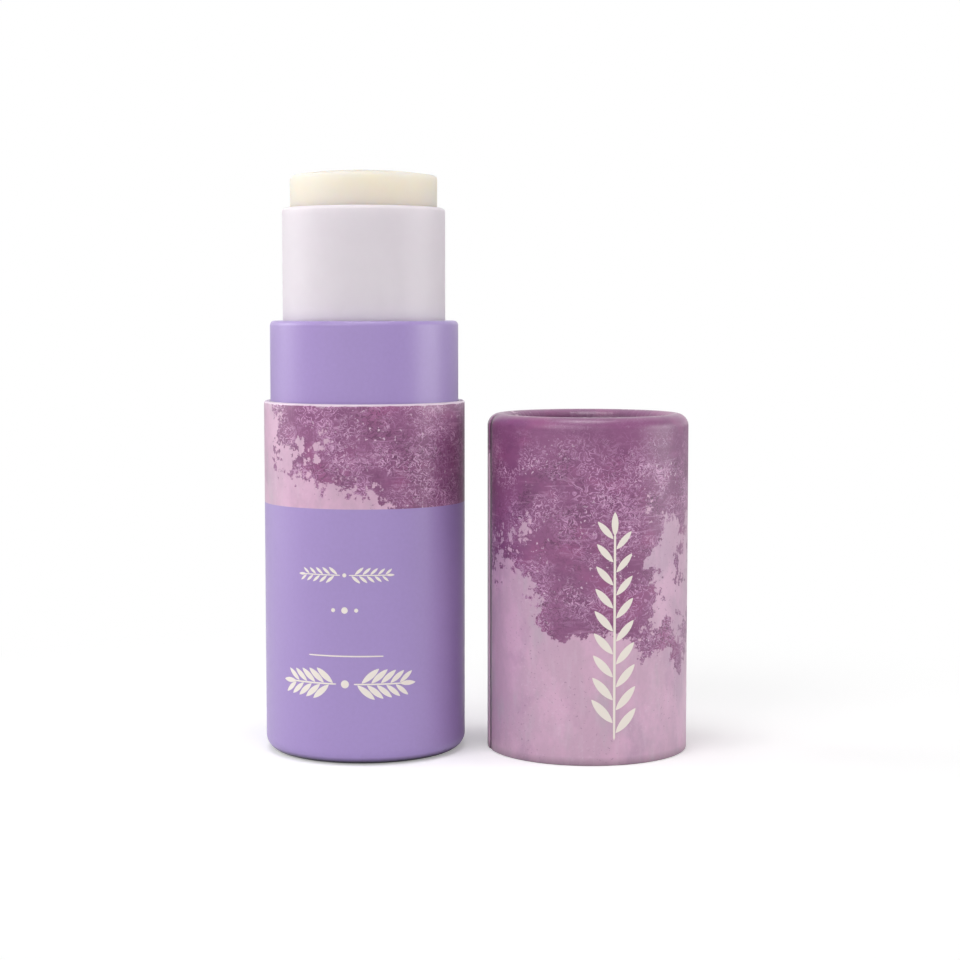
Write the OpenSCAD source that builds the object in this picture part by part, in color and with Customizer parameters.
// Twist-up lip balm stick in a paper tube, with its cap standing beside it.
// Units are millimetres. The stick's axis is the Z axis, and it stands on z = 0.
// The cap stands mouth down on the same floor, on its own axis at x = cap_x.
// The balm is drawn wound a little way out of its barrel.

/* [Paper tubes] */
// Outside diameter of the base and of the cap, over their printed paper
tube_d = 26.5; // [25:0.5:32]
// Height of the base, from the floor to its cut rim
base_h = 46.3; // [42:0.1:60]
// Height of the cap, from its cut mouth to the top of its rolled rim
cap_h = 44.6; // [34:0.1:60]
// Gap between the base and the cap where they stand side by side
cap_gap = 3.1; // [1:0.1:40]
// Thickness of the printed paper round the base and the cap
wrap_t = 0.15; // [0.1:0.01:0.2]
// Thickness of the wound board in the base and the cap
board_t = 0.4; // [0.35:0.01:0.6]
// Thickness of the lining paper inside the base and the cap
liner_t = 0.2; // [0.16:0.01:0.3]

/* [Closed ends] */
// Outer radius of the rolled edge at the closed end of each tube
roll_r = 1.6; // [1.3:0.05:1.8]
// Length of the straight lip inside the rolled edge
roll_leg = 1; // [0.6:0.1:2]
// How far the board under the base's rolled edge is pressed flat where it stands
foot_press = 0.05; // [0.02:0.01:0.15]
// Thickness of the board disc that closes each tube
disc_t = 1.2; // [0.8:0.1:2]
// Thickness of the paper on the outer face of each disc
facing_t = 0.15; // [0.1:0.01:0.2]

/* [Neck] */
// Height of the neck above the base's rim
neck_rise = 10.5; // [6:0.5:14]
// Whole length of the neck tube, most of it inside the base
neck_len = 31; // [20:1:36]
// Radial play between the neck and the tubes that slide over it
slip_gap = 0.1; // [0.06:0.01:0.3]
// Thickness of the neck's plain paper
neck_wrap_t = 0.2; // [0.16:0.01:0.25]
// Thickness of the neck's board
neck_board_t = 1.5; // [1:0.01:2]
// Radius of the neck's rounded top edge, over its paper
neck_edge_r = 0.6; // [0.4:0.05:0.9]
// How far the neck's paper reaches under the base's rim
wrap_tuck = 0.1; // [0.05:0.05:0.15]

/* [Barrel] */
// Height of the barrel above the neck
barrel_rise = 14.7; // [8:0.1:24]
// Wall of the moulded barrel
barrel_wall = 0.95; // [0.7:0.05:1.3]
// Radius of the barrel's rounded outer top edge
barrel_edge_r = 0.5; // [0.2:0.05:0.6]
// Thickness of the flange that holds the barrel in the turning foot
flange_t = 1.2; // [0.8:0.1:2]
// Height of the two key ribs inside the barrel, from its wall
rib_h = 0.5; // [0.4:0.05:0.7]
// Width of the two key ribs
rib_w = 1; // [0.8:0.1:1.6]

/* [Balm] */
// Height of the balm above the barrel's rim
balm_rise = 4.9; // [1:0.1:10]
// Depth of the balm's top below the rim when it is wound right down
balm_sink = 0.3; // [0.2:0.1:2]
// Radial gap between the balm and the barrel
balm_gap = 0.1; // [0.06:0.01:0.3]
// Height of the dome on the balm's top
dome_h = 0.65; // [0.1:0.05:1]
// Radius of the balm's rounded top edge
balm_edge_r = 0.5; // [0.3:0.05:1]

/* [Turning foot] */
// Thickness of the foot's floor
foot_floor = 1.4; // [1:0.1:2]
// Thickness of the foot's wall
foot_wall = 0.9; // [0.7:0.05:1]
// Height of the foot's wall above its snap lugs
foot_lip = 1; // [0.5:0.1:2]
// Height of each snap lug
lug_t = 0.95; // [0.7:0.05:1.5]
// Play between the barrel's flange and the foot, on every side
turn_gap = 0.25; // [0.15:0.05:0.3]
// Outside radius of the hub that holds the spindle
hub_r = 4.2; // [3.6:0.1:5]
// Height of the hub above the foot's floor
hub_h = 2.65; // [2:0.05:4]

/* [Spindle and carrier] */
// Rise of the balm in one full turn
lead = 6; // [4:0.5:8]
// Radius of the thread's root
root_r = 1.7; // [1.4:0.1:1.9]
// Radius of the thread's crest
crest_r = 2.6; // [2.4:0.05:2.8]
// Play between the thread and the carrier's nut
nut_gap = 0.3; // [0.25:0.05:0.4]
// How far the spindle's stop collar stands out past the thread
collar_lip = 0.6; // [0.5:0.05:0.8]
// Thickness of the stop collar
collar_t = 1.5; // [1:0.1:2]
// Depth of the spindle's tip below the barrel's rim
tip_drop = 4.5; // [3:0.1:8]
// Thickness of the shoulder that seats the spindle on its hub
shoulder_t = 0.5; // [0.4:0.1:1]
// Play left at each end of the carrier's travel
stop_gap = 0.3; // [0.2:0.05:0.5]
// Radial play between the carrier and the barrel
carrier_gap = 0.15; // [0.1:0.01:0.3]
// Thickness of the carrier's floor
carrier_floor = 1.2; // [0.8:0.1:2]
// Thickness of the carrier's rim
carrier_wall = 1; // [0.85:0.05:1.4]
// Height of the carrier's rim above its floor's underside
carrier_rim = 4.5; // [3:0.1:7]
// Depth of the carrier's skirt below its floor
skirt_h = 2; // [1:0.1:2.2]
// Length of the nut below the carrier's floor
nut_drop = 2.2; // [1.5:0.1:4]
// Length of the nut above the carrier's floor
nut_rise = 1.5; // [0.5:0.1:3]
// Play between the key ribs and what runs on them
key_gap = 0.2; // [0.15:0.05:0.3]
// Thickness of the fins that grip the balm
fin_t = 0.8; // [0.5:0.1:1.2]
// Height of the fins above the carrier's floor
fin_h = 2; // [1:0.1:2.8]

/* [Hidden] */
$fn = 96;

// Colours
lilac = "#a289d2";
plum = "#9c6a96";
board_grey = "#b9aea2";
lining_white = "#f1eeea";
barrel_pink = "#e6dcea";
balm_cream = "#f3efe0";
moulded_white = "#e9e6ea";

// Radii of the two paper tubes, from the outside in
tube_r = tube_d / 2;
board_r = tube_r - wrap_t;
board_in_r = board_r - board_t;
bore_r = board_in_r - liner_t;
roll_c = tube_r - roll_r;

// Radii of what stands inside the base
neck_r = bore_r - slip_gap;
neck_board_r = neck_r - neck_wrap_t;
barrel_r = neck_board_r - neck_board_t;
barrel_in_r = barrel_r - barrel_wall;
rib_in_r = barrel_in_r - rib_h;
balm_r = barrel_in_r - balm_gap;
carrier_r = barrel_in_r - carrier_gap;
cup_r = carrier_r - carrier_wall;
foot_in_r = bore_r - foot_wall;
flange_r = foot_in_r - turn_gap;
lug_r = barrel_r + turn_gap;
nut_r = hub_r;
collar_r = crest_r + collar_lip;
balm_bore_r = collar_r + nut_gap;

// Heights at the base's closed end
base_roll_z = roll_r - wrap_t - foot_press;
base_face_z = base_roll_z + roll_leg;
base_disc_z = base_face_z + facing_t;
foot_z = base_disc_z + disc_t;
foot_top = foot_z + foot_floor;

// Heights of the stick, from the base's rim up
neck_top = base_h + neck_rise;
barrel_top = neck_top + barrel_rise;
balm_top = barrel_top + balm_rise;

// Heights of the joint between the barrel and the turning foot
flange_z = foot_top + turn_gap;
lug_z = flange_z + flange_t + turn_gap;
foot_rim_z = lug_z + lug_t + foot_lip;
hub_top = foot_top + hub_h;

// Heights and travel of the spindle and the carrier
sink_travel = balm_rise + balm_sink;
shoulder_top = hub_top + shoulder_t;
nut_z = shoulder_top + stop_gap + sink_travel;
carrier_z = nut_z + nut_drop;
carrier_top = carrier_z + carrier_floor;
nut_top = carrier_top + nut_rise;
rim_top = carrier_z + carrier_rim;
spindle_top = barrel_top - tip_drop;
collar_z = spindle_top - collar_t;
rise_travel = collar_z - stop_gap - nut_top;
rib_top = barrel_top - sink_travel - 2 * stop_gap;
balm_bore_top = spindle_top + sink_travel + stop_gap;

// The cap's place, and its closed end measured down from its top
cap_x = tube_d + cap_gap;
cap_face_d = roll_r + roll_leg;
cap_disc_d = cap_face_d + facing_t;
cap_depth = cap_h - cap_disc_d - disc_t;

// Counts of what repeats
lugs = 4;
lug_deg = 40;
webs = 4;
fins = 4;
ribs = 2;
starts = 2;
thread_points = 12;
slices_per_turn = 12;
plug_sides = 6;

// Small overlap that joins two parts of one moulding
weld = 0.1;

// Flat ring about the Z axis, between two radii and two heights
module ring(r_in, r_out, z0, z1) {
    translate([0, 0, z0])
        difference() {
            cylinder(r = r_out, h = z1 - z0);
            translate([0, 0, -1])
                cylinder(r = r_in, h = z1 - z0 + 2);
        }
}

// Plain disc about the Z axis between two heights
module disc(r, z0, z1) {
    translate([0, 0, z0])
        cylinder(r = r, h = z1 - z0);
}

// Section of a quarter of a ring, in the corner above and outside its centre
module quarter_bend(centre, r_in, r_out) {
    translate(centre)
        intersection() {
            difference() {
                circle(r = r_out);
                circle(r = r_in);
            }
            square(r_out + 1);
        }
}

// Section of a wall from r0 to r1 with its outer top corner rounded
module rounded_wall(r0, r1, z0, z1, edge_r) {
    translate([r0, z0])
        square([r1 - r0, z1 - edge_r - z0]);
    translate([r0, z1 - edge_r])
        square([r1 - edge_r - r0, edge_r]);
    translate([r1 - edge_r, z1 - edge_r])
        intersection() {
            circle(r = edge_r);
            square(edge_r + 1);
        }
}

// Section of one layer of a tube whose bottom edge is rolled inwards.
// skin is the layer's depth under the tube's outer face, t its thickness and h the tube's height.
// centre_z is the height of the roll's centre, and cut is how far below it the layer may reach.
module rolled_layer(skin, t, h, centre_z, cut) {
    bend_r = roll_r - skin;
    translate([tube_r - skin - t, centre_z])
        square([t, h - centre_z]);
    translate([roll_c - bend_r, centre_z])
        square([t, roll_leg]);
    translate([roll_c, centre_z])
        intersection() {
            difference() {
                circle(r = bend_r);
                circle(r = bend_r - t);
            }
            translate([-roll_r - 1, -cut])
                square([2 * roll_r + 2, cut]);
        }
}

// A layer of the base, with the flat on which it stands
module base_layer(skin, t) {
    rotate_extrude()
        rolled_layer(skin, t, base_h, base_roll_z, base_roll_z);
}

// A layer of the cap, with its rolled edge on top
module cap_layer(skin, t) {
    on_cap()
        rotate_extrude()
            rolled_layer(skin, t, cap_h, roll_r, roll_r + 1);
}

// Puts a shape drawn with its closed end at the bottom onto the cap's axis, closed end up
module on_cap() {
    translate([cap_x, 0, cap_h])
        mirror([0, 0, 1])
            children();
}

// Bars at the key ribs' places, from radius r0 outwards and as wide as w
module at_ribs(r0, r1, w, z0, z1) {
    for (i = [0 : ribs - 1])
        rotate([0, 0, i * 360 / ribs])
            translate([r0, -w / 2, z0])
                cube([r1 - r0, w, z1 - z0]);
}

// Radius of the thread's section at an angle
function thread_radius(a) =
    root_r + (crest_r - root_r) * min(1, max(0, 0.5 + 0.9 * cos(starts * a)));

// Right-hand thread between two heights, in step with the spindle, and larger by gap
module thread(z0, z1, gap) {
    turns = (z1 - z0) / lead;
    translate([0, 0, z0])
        rotate([0, 0, 360 * z0 / lead])
            linear_extrude(
                height = z1 - z0,
                twist = -360 * turns,
                slices = ceil(turns * slices_per_turn),
                $fn = thread_points
            )
                polygon([
                    for (i = [0 : thread_points - 1])
                        let (a = i * 360 / thread_points, r = thread_radius(a) + gap)
                            [r * cos(a), r * sin(a)]
                ]);
}

// Fins between the carrier's nut and its rim
module grip_fins() {
    for (i = [0 : fins - 1])
        rotate([0, 0, 45 + i * 360 / fins])
            translate([nut_r - weld, -fin_t / 2, carrier_top - weld])
                cube([cup_r - nut_r + 2 * weld, fin_t, fin_h + weld]);
}

// Printed paper round the base, rolled under it with the board
module base_wrap() {
    color(lilac)
        base_layer(0, wrap_t);
}

// Spiral-wound board of the base
module base_tube() {
    color(board_grey)
        base_layer(wrap_t, board_t);
}

// Lining paper of the base, above its disc
module base_liner() {
    color(lining_white)
        ring(bore_r, board_in_r, foot_z, base_h);
}

// Board disc that closes the base, on the rolled edge's lip
module base_disc() {
    color(board_grey)
        disc(board_in_r, base_disc_z, foot_z);
}

// Paper on the underside of the base's disc
module base_disc_facing() {
    color(lilac)
        disc(board_in_r, base_face_z, base_disc_z);
}

// Turning foot: a moulded cup glued in the base, with lugs over the barrel's flange
module turn_base() {
    color(moulded_white)
        difference() {
            union() {
                disc(bore_r, foot_z, foot_top);
                ring(foot_in_r, bore_r, foot_top - weld, foot_rim_z);
                disc(hub_r, foot_top - weld, hub_top);
                for (i = [0 : lugs - 1])
                    rotate([0, 0, i * 360 / lugs - lug_deg / 2])
                        rotate_extrude(angle = lug_deg)
                            translate([lug_r, lug_z])
                                square([foot_in_r + weld - lug_r, lug_t]);
                for (i = [0 : webs - 1])
                    rotate([0, 0, 45 + i * 360 / webs])
                        translate([hub_r - weld, -fin_t / 2, foot_top - weld])
                            cube([rib_in_r - turn_gap - hub_r + weld, fin_t, flange_t + weld]);
            }
            translate([0, 0, foot_top])
                cylinder(r = crest_r, h = hub_h + 1, $fn = plug_sides);
        }
}

// Two-start spindle, plugged into the turning foot's hub, with a stop collar at its tip
module spindle() {
    color(moulded_white) {
        translate([0, 0, foot_top])
            cylinder(r = crest_r, h = hub_h + weld, $fn = plug_sides);
        disc(collar_r, hub_top, shoulder_top);
        thread(shoulder_top - weld, collar_z + weld, 0);
        disc(collar_r, collar_z, spindle_top);
    }
}

// Plain paper on what shows of the neck, turned in over its top edge
module neck_wrap() {
    color(lilac)
        rotate_extrude() {
            translate([neck_board_r, base_h - wrap_tuck])
                square([neck_wrap_t, neck_top - neck_edge_r - base_h + wrap_tuck]);
            translate([barrel_r, neck_top - neck_wrap_t])
                square([neck_r - neck_edge_r - barrel_r, neck_wrap_t]);
            quarter_bend(
                [neck_r - neck_edge_r, neck_top - neck_edge_r],
                neck_edge_r - neck_wrap_t,
                neck_edge_r
            );
        }
}

// Board of the neck, glued round the barrel
module neck_tube() {
    color(board_grey)
        rotate_extrude()
            rounded_wall(
                barrel_r,
                neck_board_r,
                neck_top - neck_len,
                neck_top - neck_wrap_t,
                neck_edge_r - neck_wrap_t
            );
}

// Moulded barrel with a flange at its foot and two key ribs inside
module barrel() {
    color(barrel_pink) {
        rotate_extrude() {
            rounded_wall(barrel_in_r, barrel_r, flange_z, barrel_top, barrel_edge_r);
            translate([barrel_in_r, flange_z])
                square([flange_r - barrel_in_r, flange_t]);
        }
        at_ribs(rib_in_r, barrel_in_r + weld, rib_w, flange_z, rib_top);
    }
}

// Carrier: a cup with a nut that climbs the spindle, keyed to the barrel's ribs
module carrier() {
    color(moulded_white)
        difference() {
            union() {
                disc(carrier_r, carrier_z, carrier_top);
                ring(cup_r, carrier_r, carrier_z - skirt_h, rim_top);
                disc(nut_r, nut_z, nut_top);
                grip_fins();
            }
            thread(nut_z - 1, nut_top + 1, nut_gap);
            at_ribs(
                rib_in_r - key_gap,
                carrier_r + 1,
                rib_w + 2 * key_gap,
                carrier_z - skirt_h - 1,
                rim_top + 1
            );
        }
}

// Balm, cast on the carrier and round the spindle, with a slightly domed top
module balm() {
    dome_r = balm_r - balm_edge_r;
    shoulder_z = balm_top - dome_h;
    dome_ball_r = (dome_r * dome_r + dome_h * dome_h) / (2 * dome_h);
    color(balm_cream)
        difference() {
            union() {
                rotate_extrude() {
                    rounded_wall(0, balm_r, rim_top, shoulder_z, balm_edge_r);
                    translate([0, shoulder_z - weld])
                        intersection() {
                            square([dome_r, dome_h + 1]);
                            translate([0, dome_h + weld - dome_ball_r])
                                circle(r = dome_ball_r, $fn = 720);
                        }
                }
                disc(cup_r, carrier_top, rim_top + weld);
            }
            disc(balm_bore_r, carrier_top - 1, balm_bore_top);
            disc(nut_r, carrier_top - 1, nut_top);
            grip_fins();
            at_ribs(
                rib_in_r - key_gap,
                balm_r + 1,
                rib_w + 2 * key_gap,
                rim_top - 1,
                rib_top + sink_travel + stop_gap
            );
        }
}

// Printed paper round the cap, rolled in over its top edge with the board
module cap_wrap() {
    color(plum)
        cap_layer(0, wrap_t);
}

// Spiral-wound board of the cap
module cap_tube() {
    color(board_grey)
        cap_layer(wrap_t, board_t);
}

// Lining paper of the cap, from its mouth to its disc
module cap_liner() {
    color(lining_white)
        translate([cap_x, 0, 0])
            ring(bore_r, board_in_r, 0, cap_depth);
}

// Board disc that closes the cap, under the rolled edge's lip
module cap_disc() {
    color(board_grey)
        on_cap()
            disc(board_in_r, cap_disc_d, cap_disc_d + disc_t);
}

// Printed paper on the top of the cap's disc
module cap_disc_facing() {
    color(plum)
        on_cap()
            disc(board_in_r, cap_face_d, cap_disc_d);
}

base_wrap();
base_tube();
base_liner();
base_disc();
base_disc_facing();
turn_base();
spindle();
neck_wrap();
neck_tube();
barrel();
carrier();
balm();
cap_wrap();
cap_tube();
cap_liner();
cap_disc();
cap_disc_facing();
